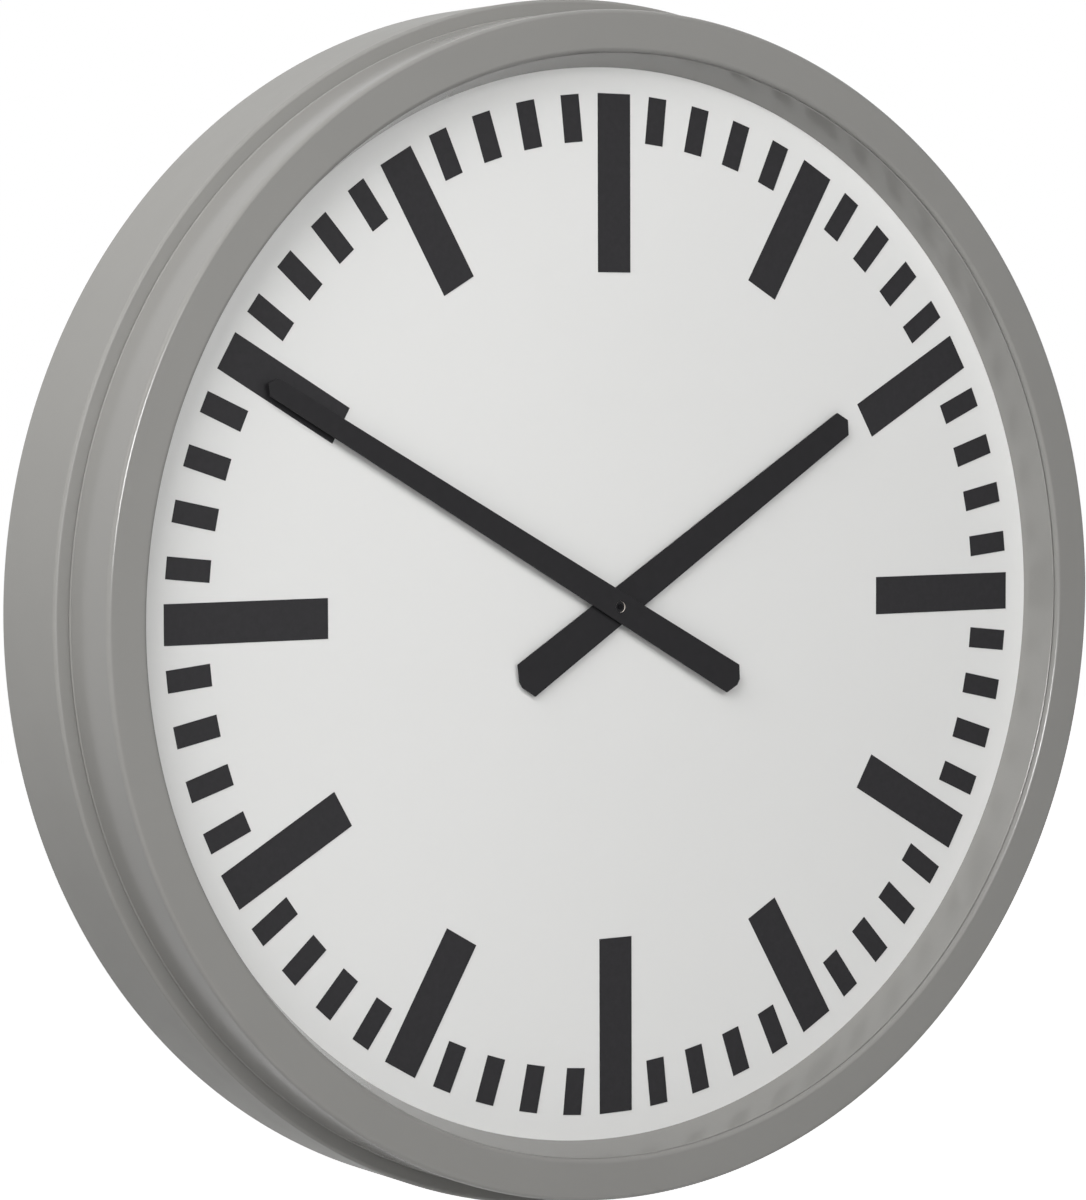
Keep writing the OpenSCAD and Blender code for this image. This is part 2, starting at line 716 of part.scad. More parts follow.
pivot_top_z = cavity_z + shell_t / 2;
pivot_end_play = 0.15;
plate_pivot_z = train_plate_z + pivot_end_play;
plate_top_z = train_plate_z + plate_t;
arbor_foot_z = plate_top_z + pivot_end_play;
shoulder_r = pivot_r + 0.3;
train_hub_r = 1.6;
centre_hub_r = 2;

// The minute arbor with its pinion and its wheel, in one piece
module centre_wheel() {
    foot_r = 1.26;
    cannon_top_z = cannon_level + wheel_t;
    color("#d9d4c4") clock() {
        translate([0, 0, plate_pivot_z])
            cylinder(r = pivot_r, h = arbor_foot_z - plate_pivot_z, $fn = small_fn);
        translate([0, 0, arbor_foot_z]) cylinder(r = foot_r, h = cannon_top_z - arbor_foot_z, $fn = part_fn);
        translate([0, 0, cannon_top_z]) cylinder(r = arbor_r, h = arbor_top_z - cannon_top_z, $fn = part_fn);
        translate([0, 0, cannon_level - pinion_over])
            teeth(cannon_teeth, motion_module, pinion_tooth, 0, wheel_t + pinion_over);
        translate([0, 0, centre_level]) wheel(centre_teeth, train_module, 0, centre_hub_r);
        translate([0, 0, centre_level]) cylinder(r = centre_hub_r, h = wheel_t + pinion_over, $fn = part_fn);
    }
}

module hour_wheel() {
    top_z = hour_hand_z + hand_t + collet_flange_t - pipe_sink;
    color("#e4ded0") clock() translate([0, 0, hour_level]) difference() {
        union() {
            wheel(hour_teeth, hour_module, hour_turn, pipe_r);
            cylinder(r = pipe_r, h = top_z - hour_level, $fn = part_fn);
        }
        translate([0, 0, -cut]) cylinder(r = pipe_bore_r, h = top_z - hour_level + 2 * cut, $fn = part_fn);
    }
}

// The motion wheel turns on a fixed post of the front shell
pipe_sink = 0.1;
motion_post_r = 0.8;
module motion_wheel() {
    color("#d9d4c4") clock() translate([motion_at[0], motion_at[1], cannon_level]) difference() {
        union() {
            wheel(motion_teeth, motion_module, motion_turn, centre_hub_r);
            translate([0, 0, wheel_t])
                teeth(motion_pinion, hour_module, pinion_tooth, 0, hour_level - cannon_level + pipe_sink);
        }
        translate([0, 0, -cut])
            cylinder(r = motion_post_r + run_fit, h = cavity_z - cannon_level, $fn = small_fn);
    }
}

// A train arbor runs from the back plate to the front shell, with its pinion and its wheel on it
module arbor(at) {
    translate([at[0], at[1], plate_pivot_z])
        cylinder(r = pivot_r, h = pivot_top_z - plate_pivot_z, $fn = small_fn);
    translate([at[0], at[1], arbor_foot_z])
        cylinder(r = shoulder_r, h = cavity_z - pivot_end_play - arbor_foot_z, $fn = small_fn);
}

module pinion(at, level, n, m, turn) {
    translate([at[0], at[1], level - pinion_over]) teeth(n, m, pinion_tooth, turn, pinion_h);
}

module train_wheel(at, level, n, m) {
    translate([at[0], at[1], level]) wheel(n, m, 0, train_hub_r);
}

module third_wheel() {
    color("#e4ded0") clock() {
        arbor(third_at);
        pinion(third_at, centre_level, third_pinion, train_module, third_turn);
        train_wheel(third_at, third_level, third_teeth, train_module);
    }
}

module seconds_wheel() {
    color("#d9d4c4") clock() {
        arbor(seconds_at);
        pinion(seconds_at, third_level, seconds_pinion, train_module, seconds_turn);
        train_wheel(seconds_at, seconds_level, seconds_teeth, fine_module);
    }
}

module drive_wheel() {
    color("#e4ded0") clock() {
        arbor(drive_at);
        pinion(drive_at, seconds_level, drive_pinion, fine_module, drive_turn);
        train_wheel(drive_at, drive_level, drive_teeth, fine_module);
    }
}

magnet_r = 3;
magnet_h = 2.2;
stator_z = seconds_level + level_shift;
stator_t = 1;
air_gap = 0.45;
module rotor() {
    color("#5a5a60") clock() {
        arbor(rotor_at);
        pinion(rotor_at, drive_level, rotor_teeth, fine_module, rotor_turn);
        translate([rotor_at[0], rotor_at[1], stator_z + stator_t / 2 - magnet_h / 2])
            cylinder(r = magnet_r, h = magnet_h, $fn = part_fn);
    }
}

// The motor: a laminated stator with a round hole for the magnet, and a coil on its yoke
coil_r = 2.6;
flange_over = 0.6;
flange_t = 0.6;
coil_gap = 0.4;
yoke_w = 2;
limb_w = 3;
stator_wall = 1.2;
coil_flange_r = coil_r + flange_over;
coil_y = bay_top_y + bay_wall + coil_gap + coil_flange_r;
coil_reach = 20;
coil_x1 = rotor_at[0] - coil_reach;
coil_x2 = rotor_at[0] - magnet_r / 2;
stator_x1 = coil_x1;
stator_x2 = coil_x2 + yoke_w / 2;

// Two posts of the train plate carry the ends of the stator's yoke
stator_post_r = 1.2;
module stator_places() {
    for (x = [stator_x1 + limb_w / 2, stator_x2 - limb_w / 2]) translate([x, coil_y, 0]) children();
}

module stator() {
    low_y = coil_y - yoke_w / 2;
    color("#9a9a9e") clock() translate([0, 0, stator_z]) linear_extrude(stator_t) difference() {
        union() {
            box_2d(stator_x1, low_y, stator_x2, low_y + yoke_w);
            box_2d(stator_x1, low_y, stator_x1 + limb_w, rotor_at[1] + limb_w / 2);
            box_2d(stator_x1, rotor_at[1] - limb_w / 2, rotor_at[0], rotor_at[1] + limb_w / 2);
            box_2d(stator_x2 - limb_w, low_y, stator_x2, rotor_at[1]);
            translate(rotor_at) circle(magnet_r + air_gap + stator_wall, $fn = part_fn);
        }
        translate(rotor_at) circle(magnet_r + air_gap, $fn = part_fn);
    }
}

module coil() {
    wind_x1 = stator_x1 + limb_w + coil_gap;
    wind_len = stator_x2 - limb_w - coil_gap - wind_x1;
    slot_t = stator_t + 2 * nut_play;
    slot_w = yoke_w + 2 * nut_play;
    color("#b06a3b") clock() translate([wind_x1, coil_y, stator_z + stator_t / 2]) rotate([0, 90, 0]) difference() {
        union() {
            cylinder(r = coil_r, h = wind_len, $fn = part_fn);
            cylinder(r = coil_flange_r, h = flange_t, $fn = part_fn);
            translate([0, 0, wind_len - flange_t]) cylinder(r = coil_flange_r, h = flange_t, $fn = part_fn);
        }
        translate([-slot_t / 2, -slot_w / 2, -cut]) cube([slot_t, slot_w, wind_len + 2 * cut]);
    }
}

// The board carries the timing chip and the small can of the quartz
board_gap = 1;
board_w = 19;
board_drop = 8;
board_h = 16;
board_x = -move_w / 2 + shell_t + board_gap;
board_y = move_h / 2 - board_drop - board_h;
board_t = 1;
chip_x = 4;
chip_w = 6;
chip_t = 1.4;
can_r = 1;
can_h = 6;
module circuit_board() {
    color("#2f6b45") clock() translate([board_x, board_y, plate_top_z]) {
        cube([board_w, board_h, board_t]);
        translate([chip_x, board_h / 2, board_t]) cube([chip_w, chip_w, chip_t]);
        translate([board_w - chip_x, board_h / 4, board_t + can_r - nut_play]) rotate([-90, 0, 0])
            cylinder(r = can_r, h = can_h, $fn = small_fn);
    }
}

// The movement's shells

screw_in = 4.6;
corner_lift = 3;
wall_lap = 0.2;
module shell_corners() {
    for (sx = [-1, 1], y = [move_h / 2 - screw_in, bay_top_y + bay_wall + corner_lift])
        translate([sx * (move_w / 2 - screw_in), y, 0]) children();
}

module shell_room(h) {
    rounded_plate(move_w - 2 * shell_t, move_h - 2 * shell_t, move_corner - shell_t, h);
}

// Walls that close the battery bay off from the train and from the corners
module bay_walls(z1, z2) {
    translate([-move_w / 2 + shell_t / 2, bay_top_y, z1]) cube([move_w - shell_t, bay_wall, z2 - z1]);
    for (s = [-1, 1]) translate([s * (bay_end_x + bay_wall / 2) - bay_wall / 2, -move_h / 2 + shell_t / 2, z1])
        cube([bay_wall, bay_top_y + move_h / 2, z2 - z1]);
}

// Four pegs of the back shell carry the train plate
peg_r = 1.6;
peg_inset = 4;
peg_low_y = -4;
module plate_places() {
    for (sx = [-1, 1]) {
        translate([sx * (plate_waist_x - peg_inset), move_h / 2 - peg_inset - peg_r, 0]) children();
        translate([sx * (plate_edge_x - peg_inset), peg_low_y, 0]) children();
    }
}

shell_boss_r = 2.6;
shell_screw_r = 0.9;
shell_screw_in = 4;
shell_hole_h = 6;
shell_head_r = 1.8;
shell_head_h = 1.2;
shell_screw_play = 0.15;
shell_sink = 0.2;

// Blind holes go this far into a wall
blind_share = 0.7;
module movement_front() {
    color("#26262a") clock() difference() {
        union() {
            difference() {
                translate([0, 0, split_z]) rounded_plate(move_w, move_h, move_corner, front_z - split_z);
                translate([0, 0, split_z - cut])
                    shell_room(cavity_z - split_z + cut);
            }
            bay_walls(split_z, cavity_z + wall_lap);
            shell_corners() translate([0, 0, split_z])
                cylinder(r = shell_boss_r, h = cavity_z - split_z + wall_lap, $fn = part_fn);
            translate([motion_at[0], motion_at[1], cannon_level - pinion_over])
                cylinder(r = motion_post_r, h = cavity_z - cannon_level + pinion_over + wall_lap, $fn = small_fn);
        }
        translate([0, 0, cavity_z - cut]) cylinder(r = bush_r + nut_play, h = shell_t + 2 * cut, $fn = part_fn);
        shell_corners() translate([0, 0, split_z - cut])
            cylinder(r = shell_screw_r + nut_play, h = shell_hole_h + cut, $fn = small_fn);
        for (at = [third_at, seconds_at, drive_at, rotor_at]) translate([at[0], at[1], cavity_z - cut])
            cylinder(r = pivot_r + run_fit, h = shell_t * blind_share + cut, $fn = small_fn);
        translate([knob_at[0], knob_at[1], cavity_z - cut])
            cylinder(r = knob_stem_r + run_fit, h = shell_t * blind_share + cut, $fn = small_fn);
    }
}

knob_stem_r = 1.5;
module movement_back() {
    color("#2d2d31") clock() difference() {
        union() {
            difference() {
                translate([0, 0, back_z]) rounded_plate(move_w, move_h, move_corner, split_z - back_z);
                translate([0, 0, floor_z])
                    shell_room(split_z - floor_z + cut);
            }
            bay_walls(floor_z - wall_lap, split_z);
            translate([0, 0, floor_z - wall_lap]) {
                shell_corners() cylinder(r = shell_boss_r, h = split_z - floor_z + wall_lap, $fn = part_fn);
                plate_places() cylinder(r = peg_r, h = plate_lift + wall_lap, $fn = small_fn);
            }
        }
        translate([-bay_end_x, bay_top_y - bay_h, back_z - cut]) cube([2 * bay_end_x, bay_h, shell_t + 2 * cut]);
        shell_corners() translate([0, 0, back_z - cut]) {
            cylinder(r = shell_screw_r + shell_screw_play, h = split_z - back_z + 2 * cut, $fn = small_fn);
            cylinder(r = shell_head_r + screw_fit, h = shell_sink + shell_head_h + cut, $fn = small_fn);
        }
        translate([knob_at[0], knob_at[1], back_z - cut])
            cylinder(r = knob_stem_r + run_fit, h = shell_t + 2 * cut, $fn = small_fn);
    }
}

module movement_screws() {
    color("silver") clock() shell_corners() translate([0, 0, back_z + shell_sink]) {
        cylinder(r = shell_head_r, h = shell_head_h, $fn = small_fn);
        cylinder(r = shell_screw_r, h = split_z - back_z + shell_screw_in, $fn = small_fn);
    }
}

// Plate that holds the rear pivots, carried on the ledges of the shell's corners
module train_plate() {
    boss_room = shell_boss_r + plate_gap;
    low_y = bay_top_y + bay_wall;
    color("#8a7f6a") clock() difference() {
        union() {
            translate([0, 0, train_plate_z]) linear_extrude(plate_t) {
                box_2d(-plate_waist_x, low_y + plate_gap, plate_waist_x, move_h / 2 - shell_t - plate_gap);
                box_2d(-plate_edge_x, low_y + corner_lift + boss_room, plate_edge_x,
                    move_h / 2 - screw_in - boss_room);
            }
            stator_places() translate([0, 0, train_plate_z])
                cylinder(r = stator_post_r, h = stator_z - train_plate_z, $fn = small_fn);
        }
        for (at = [centre_at, third_at, seconds_at, drive_at, rotor_at])
            translate([at[0], at[1], train_plate_z - cut])
                cylinder(r = pivot_r + run_fit, h = plate_t + 2 * cut, $fn = small_fn);
        translate([knob_at[0], knob_at[1], train_plate_z - cut])
            cylinder(r = knob_stem_r + run_fit, h = plate_t + 2 * cut, $fn = small_fn);
    }
}

module battery() {
    nub_r = 2.7;
    nub_h = 1;
    color("#a58a55") clock() translate([-cell_len / 2, cell_y, cell_z]) rotate([0, 90, 0]) {
        cylinder(r = cell_r, h = cell_len - nub_h, $fn = part_fn);
        cylinder(r = nub_r, h = cell_len, $fn = part_fn);
    }
}

// Flat strips against the ends of the bay, each with a bent leaf that presses on the battery
module battery_contacts() {
    strip_w = 9;
    leaf_w = 5;
    leaf = [[0, -strip_w / 2], [contact_room, 0], [0, strip_w / 2], [0, strip_w / 2 - 2 * contact_t],
        [contact_room - 2 * contact_t, 0], [0, 2 * contact_t - strip_w / 2]];
    color("silver") clock() for (s = [0, 180]) translate([0, cell_y, cell_z]) rotate([0, 0, s]) {
        translate([-bay_end_x, -strip_w / 2, -strip_w / 2]) cube([contact_t, strip_w, strip_w]);
        translate([-bay_end_x, leaf_w / 2, 0]) rotate([90, 0, 0]) linear_extrude(leaf_w) polygon(leaf);
    }
}

knob_r = 6.5;
knob_h = 6;
knob_gap = 0.4;
knob_flutes = 12;
flute_r = 0.9;
flute_out = 0.35;
module setting_knob() {
    color("#ececec") clock() {
        translate([knob_at[0], knob_at[1], back_z - knob_gap]) {
            cylinder(r = knob_stem_r, h = pivot_top_z - back_z + knob_gap, $fn = part_fn);
            translate([0, 0, -knob_h]) difference() {
                cylinder(r = knob_r, h = knob_h, $fn = part_fn);
                around(knob_flutes) translate([knob_r + flute_out, 0, -cut])
                    cylinder(r = flute_r, h = knob_h + 2 * cut, $fn = small_fn);
            }
        }
        pinion(knob_at, cannon_level, knob_teeth, motion_module, knob_turn);
    }
}

case_drum();
back_panel();
hanger_plate();
hanger_rivets();
panel_screws();
wall_pads();
bezel_ring();
bezel_brackets();
bezel_screws();
reflector_ring();
reflector_rivets();
dial_plate();
dial_posts();
dial_screws();
hour_marks();
minute_marks();
movement_front();
movement_back();
movement_screws();
train_plate();
centre_bush();
bush_nut();
bush_washer();
rubber_washer();
centre_wheel();
minute_collet();
minute_hand();
hour_wheel();
hour_collet();
hour_hand();
motion_wheel();
third_wheel();
seconds_wheel();
drive_wheel();
rotor();
stator();
coil();
circuit_board();
battery_contacts();
battery();
setting_knob();
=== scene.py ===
"""Looks of a large round wall clock: stove-enamelled case, enamel dial, bar hands and battery movement."""

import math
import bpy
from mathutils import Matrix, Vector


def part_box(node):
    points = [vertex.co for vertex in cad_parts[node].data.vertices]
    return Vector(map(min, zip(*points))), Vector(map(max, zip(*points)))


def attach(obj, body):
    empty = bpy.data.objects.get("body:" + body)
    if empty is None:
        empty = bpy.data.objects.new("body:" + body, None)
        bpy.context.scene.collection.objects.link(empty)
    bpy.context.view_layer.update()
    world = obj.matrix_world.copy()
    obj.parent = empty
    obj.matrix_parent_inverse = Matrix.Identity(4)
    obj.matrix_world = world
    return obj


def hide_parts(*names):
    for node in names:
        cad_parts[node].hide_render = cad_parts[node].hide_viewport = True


bl_info = {
    "name": "Round Wall Clock",
    "version": (1, 0, 0),
    "blender": (4, 5, 0),
    "location": "View3D > Sidebar > Clock",
    "description": "Dresses a round wall clock with its case, dial, hands, movement and studio",
    "category": "Object",
}

import bpy
import numpy as np
from mathutils import Matrix, Vector

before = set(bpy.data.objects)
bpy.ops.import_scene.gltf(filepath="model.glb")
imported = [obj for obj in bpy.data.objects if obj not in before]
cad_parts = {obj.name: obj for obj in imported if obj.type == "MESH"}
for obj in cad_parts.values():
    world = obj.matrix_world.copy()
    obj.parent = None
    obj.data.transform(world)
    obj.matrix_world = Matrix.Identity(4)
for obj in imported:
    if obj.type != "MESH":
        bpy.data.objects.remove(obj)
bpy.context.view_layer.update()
MM = 0.001
BEND_STEPS = 8  # points round each rounded corner
CUT = 0.3  # rounding of a cut sheet edge, in millimetres
FINE_CUT = 0.2  # the same for the dial and the bezel's foot
REAR_BEND = 2.5  # bend from the drum's wall into its rim, in millimetres
RIM_INNER = 1.0  # inside of that bend
SHOULDER_INNER = 0.9  # inside of the shoulder's bend
RING_EDGE = 0.6  # rounding of the reflector's front edge
RING_FOOT = 4.5  # width of the reflector's foot on the dial
SEAT_GAP = 0.1  # between the drum and the bezel's bead
BEAD_OUT = 0.4  # share of the bead's radius that stands out of the bezel's wall
ARBOR_R = 1.84 * MM  # anything nearer to the hands' axis than this is the steel arbor
BAND_X = 12 * MM  # where the battery's gold band starts
FLOOR_REACH = 14.0  # half the floor's width, in metres
GLOW_NEAR, GLOW_FAR = 2.0, 6.0  # from here to there the seen floor brightens to white


def cad_span(node, axis):
    """Lowest and highest value of a CAD node along one axis, in metres."""
    low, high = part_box(node)
    return low[axis], high[axis]


DIAL_CENTRE = np.array([0.0, 0.0, sum(cad_span("dial_plate", 2)) / 2])
CASE_R = cad_span("case_drum", 0)[1]
SHOULDER_H = -cad_span("case_drum", 1)[0]
BEZEL_R = cad_span("bezel_ring", 0)[1]
BEZEL_FRONT_H = -cad_span("bezel_ring", 1)[0]
DIAL_R = cad_span("dial_plate", 0)[1]
DIAL_BACK_H = -cad_span("dial_plate", 1)[1]
DIAL_FRONT_H = -cad_span("dial_plate", 1)[0]
RING_R = cad_span("reflector_ring", 0)[1]
RING_TOP_H = -cad_span("reflector_ring", 1)[0]


# Settings


class CaseSettings(bpy.types.PropertyGroup):
    """Sizes and colour of the sheet-metal case."""

    enamel: bpy.props.FloatVectorProperty(
        name="Enamel", description="Colour of the case's stove enamel", subtype="COLOR",
        size=3, min=0, max=1, default=(0.240, 0.236, 0.225))
    gloss: bpy.props.FloatProperty(
        name="Bezel roughness", description="Roughness of the bezel's enamel", min=0.05, max=1, default=0.20)
    ring_gloss: bpy.props.FloatProperty(
        name="Reflector roughness", description="Roughness of the reflector's enamel", min=0.05, max=1,
        default=0.17)
    drum_gloss: bpy.props.FloatProperty(
        name="Drum roughness", description="Roughness of the drum's enamel", min=0.05, max=1, default=0.46)
    sheet: bpy.props.FloatProperty(
        name="Sheet", description="Thickness of the case's sheet metal", unit="LENGTH", default=1.5 * MM)
    rim: bpy.props.FloatProperty(
        name="Rim", description="Width of the rim on the wall", unit="LENGTH", default=18 * MM)
    flange: bpy.props.FloatProperty(
        name="Flange", description="Width of the drum's front flange", unit="LENGTH", default=58 * MM)
    bezel_face: bpy.props.FloatProperty(
        name="Bezel face", description="Width of the bezel's front", unit="LENGTH", default=26 * MM)
    shoulder_bend: bpy.props.FloatProperty(
        name="Shoulder bend", description="Radius of the drum's front edge", unit="LENGTH", default=2.4 * MM)
    front_bend: bpy.props.FloatProperty(
        name="Front bend", description="Radius of the bezel's outer edge", unit="LENGTH", default=2.8 * MM)
    lip_bend: bpy.props.FloatProperty(
        name="Lip bend", description="Radius of the edge of the bezel's opening", unit="LENGTH",
        default=2.8 * MM)
    lip: bpy.props.FloatProperty(
        name="Lip", description="Depth of the lip under its bend", unit="LENGTH", default=0.6 * MM)
    lip_cover: bpy.props.FloatProperty(
        name="Lip cover", description="How far the reflector shows inside the lip", unit="LENGTH",
        default=0.6 * MM)
    ring_sheet: bpy.props.FloatProperty(
        name="Ring sheet", description="Thickness of the reflector", unit="LENGTH", default=1.2 * MM)
    bead: bpy.props.FloatProperty(
        name="Bead", description="Radius of the bead at the bezel's foot", unit="LENGTH", default=1.2 * MM)
    lean: bpy.props.FloatProperty(
        name="Lean", description="How far the reflector leans in to the dial", unit="LENGTH", default=8 * MM)
    steps: bpy.props.IntProperty(
        name="Steps", description="Facets round each ring", min=64, max=1024, default=512)


class DialSettings(bpy.types.PropertyGroup):
    """Colours of the dial and its marks."""

    enamel: bpy.props.FloatVectorProperty(
        name="Dial", description="Colour of the dial", subtype="COLOR",
        size=3, min=0, max=1, default=(0.745, 0.745, 0.735))
    marks: bpy.props.FloatVectorProperty(
        name="Marks", description="Colour of the hour and minute marks", subtype="COLOR",
        size=3, min=0, max=1, default=(0.0175, 0.0168, 0.0185))
    hole: bpy.props.FloatProperty(
        name="Hole", description="Radius of the dial's middle hole", unit="LENGTH", default=5.1 * MM)


class HandSettings(bpy.types.PropertyGroup):
    """Colour and edges of the hands."""

    enamel: bpy.props.FloatVectorProperty(
        name="Hands", description="Colour of the hands", subtype="COLOR",
        size=3, min=0, max=1, default=(0.0140, 0.0135, 0.0148))
    edge: bpy.props.FloatProperty(
        name="Edge", description="Radius of the stamped edges", unit="LENGTH", default=0.25 * MM)


class StageSettings(bpy.types.PropertyGroup):
    """Camera and lights."""

    camera: bpy.props.FloatVectorProperty(
        name="Camera", description="Place of the camera", subtype="TRANSLATION", size=3,
        default=(-1.4161, -2.1255, -0.1781))
    aim: bpy.props.FloatVectorProperty(
        name="Aim", description="Point in the middle of the picture", subtype="TRANSLATION", size=3,
        default=(-0.0541, -0.0900, -0.3141))
    roll: bpy.props.FloatProperty(
        name="Roll", description="Turn of the camera about its own axis", subtype="ANGLE",
        default=math.radians(-0.164))
    lens: bpy.props.FloatProperty(
        name="Lens", description="Focal length over a 36 mm tall picture, in mm", default=118.74)
    key: bpy.props.FloatProperty(
        name="Key", description="Power of the key light at the upper left", unit="POWER", default=81)
    front: bpy.props.FloatProperty(
        name="Front", description="Power of the light high in front", unit="POWER", default=36)
    top: bpy.props.FloatProperty(
        name="Top", description="Power of the light over the left side", unit="POWER", default=33)
    fill: bpy.props.FloatProperty(
        name="Fill", description="Power of the fill light at the right", unit="POWER", default=8)
    edge: bpy.props.FloatProperty(
        name="Edge", description="Power of the light that only glints on edges", unit="POWER", default=115)
    back: bpy.props.FloatProperty(
        name="Back", description="Power of the light behind", unit="POWER", default=30)
    sky: bpy.props.FloatProperty(
        name="Sky", description="Strength of the world", min=0, max=2, default=0.0)
    floor_h: bpy.props.FloatProperty(
        name="Floor", description="Height of the floor under the clock", unit="LENGTH", default=-1.9)


# Shapes


def rounded_loop(corners, radii):
    """A closed outline with every corner rounded.

    Each corner is replaced by the arc that touches both of its sides. The arc's middle lies on the
    corner's bisector at radius / sin(half angle), and its points turn evenly from one side's normal
    to the other's. Gives the points and their outward normals, for an outline drawn anticlockwise.
    """
    here = np.asarray(corners, float)
    to_next = np.roll(here, -1, axis=0) - here
    to_next /= np.linalg.norm(to_next, axis=1)[:, None]
    from_last = np.roll(to_next, 1, axis=0)
    normal_in = np.stack([from_last[:, 1], -from_last[:, 0]], 1)
    normal_out = np.stack([to_next[:, 1], -to_next[:, 0]], 1)
    turn = np.arctan2(from_last[:, 0] * to_next[:, 1] - from_last[:, 1] * to_next[:, 0],
                      (from_last * to_next).sum(1))
    side = np.sign(turn)
    radius = np.asarray(radii, float)
    setback = radius * np.tan(np.abs(turn) / 2)
    middle = here - from_last * setback[:, None] - normal_in * (side * radius)[:, None]
    start = np.arctan2(normal_in[:, 1], normal_in[:, 0])
    angle = start[:, None] + turn[:, None] * np.linspace(0, 1, BEND_STEPS)[None, :]
    normal = np.stack([np.cos(angle), np.sin(angle)], -1)
    points = middle[:, None] + normal * (side * radius)[:, None, None]
    return points.reshape(-1, 2), normal.reshape(-1, 2)


def revolve(points, normals, steps):
    """The surface swept by a closed outline turned about the clock's axis.

    An outline point at radius r and height h over the wall goes to (r cos t, -h, r sin t) about the
    dial's centre, for t evenly round the circle. Gives vertices, their normals and the faces.
    """
    t = np.linspace(0, 2 * np.pi, steps, endpoint=False)[:, None]
    r, h = points[None, :, 0], points[None, :, 1]
    place = np.stack([r * np.cos(t), -h + 0 * t, r * np.sin(t)], -1) + DIAL_CENTRE
    nr, nh = normals[None, :, 0], normals[None, :, 1]
    facing = np.stack([nr * np.cos(t), -nh + 0 * t, nr * np.sin(t)], -1)
    count = len(points)
    i, j = np.meshgrid(np.arange(steps), np.arange(count), indexing="ij")
    i2, j2 = (i + 1) % steps, (j + 1) % count
    faces = np.stack([i * count + j, i2 * count + j, i2 * count + j2, i * count + j2], -1)
    return place.reshape(-1, 3), facing.reshape(-1, 3), faces.reshape(-1, 4)


def mesh_piece(name, surfaces, material):
    """A piece from one or more (vertices, normals, faces) surfaces, shaded with those normals."""
    first = np.cumsum([0] + [len(s[0]) for s in surfaces])
    vertices = np.concatenate([s[0] for s in surfaces])
    normals = np.concatenate([s[1] for s in surfaces])
    faces = np.concatenate([s[2] + n for s, n in zip(surfaces, first)])
    mesh = bpy.data.meshes.new(name)
    mesh.from_pydata(vertices, [], faces.tolist())
    mesh.polygons.foreach_set("use_smooth", np.ones(len(faces), bool))
    mesh.validate()
    mesh.update()
    mesh.normals_split_custom_set_from_vertices(normals)
    mesh.materials.append(material)
    piece = bpy.data.objects.new(name, mesh)
    bpy.context.scene.collection.objects.link(piece)
    return piece


def ring_piece(name, outlines, steps, material):
    """A ring whose section is one or more closed outlines of (corners, radii) in millimetres."""
    surfaces = []
    for corners, radii in outlines:
        points, normals = rounded_loop(np.asarray(corners) * MM, np.asarray(radii) * MM)
        surfaces.append(revolve(points, normals, steps))
    return mesh_piece(name, surfaces, material)


# Materials


class Finish:
    """A material with a Principled shader, and short ways to add nodes to it."""

    def __init__(self, name, colour, roughness, metallic=0.0):
        self.material = bpy.data.materials.new(name)
        self.material.use_nodes = True
        self.tree = self.material.node_tree
        self.shader = self.tree.nodes["Principled BSDF"]
        self.colour = colour
        self.set(self.shader, {"Base Color": (*colour, 1), "Roughness": roughness, "Metallic": metallic})

    def set(self, node, inputs):
        """Sets the values of a node's inputs."""
        for key, value in inputs.items():
            node.inputs[key].default_value = value

    def node(self, kind, inputs=None, links=None, **options):
        """Adds a node, sets its options and inputs, and links its inputs to other nodes' outputs."""
        made = self.tree.nodes.new("ShaderNode" + kind)
        for key, value in options.items():
            setattr(made, key, value)
        self.set(made, inputs or {})
        for key, socket in (links or {}).items():
            self.tree.links.new(socket, made.inputs[key])
        return made

    def place(self, shift=(0, 0, 0), scale=(1, 1, 1)):
        """The piece's own coordinates in metres, scaled and then moved."""
        mapping = self.node("Mapping", {"Location": shift, "Scale": scale},
                            {"Vector": self.node("TexCoord").outputs["Object"]})
        return mapping.outputs["Vector"]

    def noise(self, size, detail=2.0, roughness=0.5):
        """Noise whose bumps are about size metres across."""
        noise = self.node("TexNoise", {"Scale": 1.0 / size, "Detail": detail, "Roughness": roughness},
                          {"Vector": self.place()})
        return noise.outputs["Fac"]

    def spread(self, value, low, high, start=0.0, end=1.0):
        """Maps a value from start..end to low..high."""
        ramp = self.node("MapRange", {"From Min": start, "From Max": end, "To Min": low, "To Max": high},
                         {"Value": value})
        return ramp.outputs["Result"]

    def shade(self, value, low, high):
        """The base colour times low..high, as value goes from 0 to 1."""
        return self.blend(value, [c * low for c in self.colour], [c * high for c in self.colour])

    def to(self, key, socket):
        """Links an output to one of the shader's inputs."""
        self.tree.links.new(socket, self.shader.inputs[key])

    def blend(self, value, first, second):
        """From one colour to another, as value goes from 0 to 1."""
        mix = self.node("Mix", links={"Factor": value}, data_type="RGBA")
        mix.inputs["A"].default_value = (*first, 1)
        mix.inputs["B"].default_value = (*second, 1)
        return mix.outputs["Result"]

    def bump(self, height, distance, strength, below=None):
        """A bumped normal, on top of another bump where one is given."""
        links = {"Height": height}
        if below is not None:
            links["Normal"] = below
        node = self.node("Bump", {"Distance": distance, "Strength": strength}, links)
        return node.outputs["Normal"]


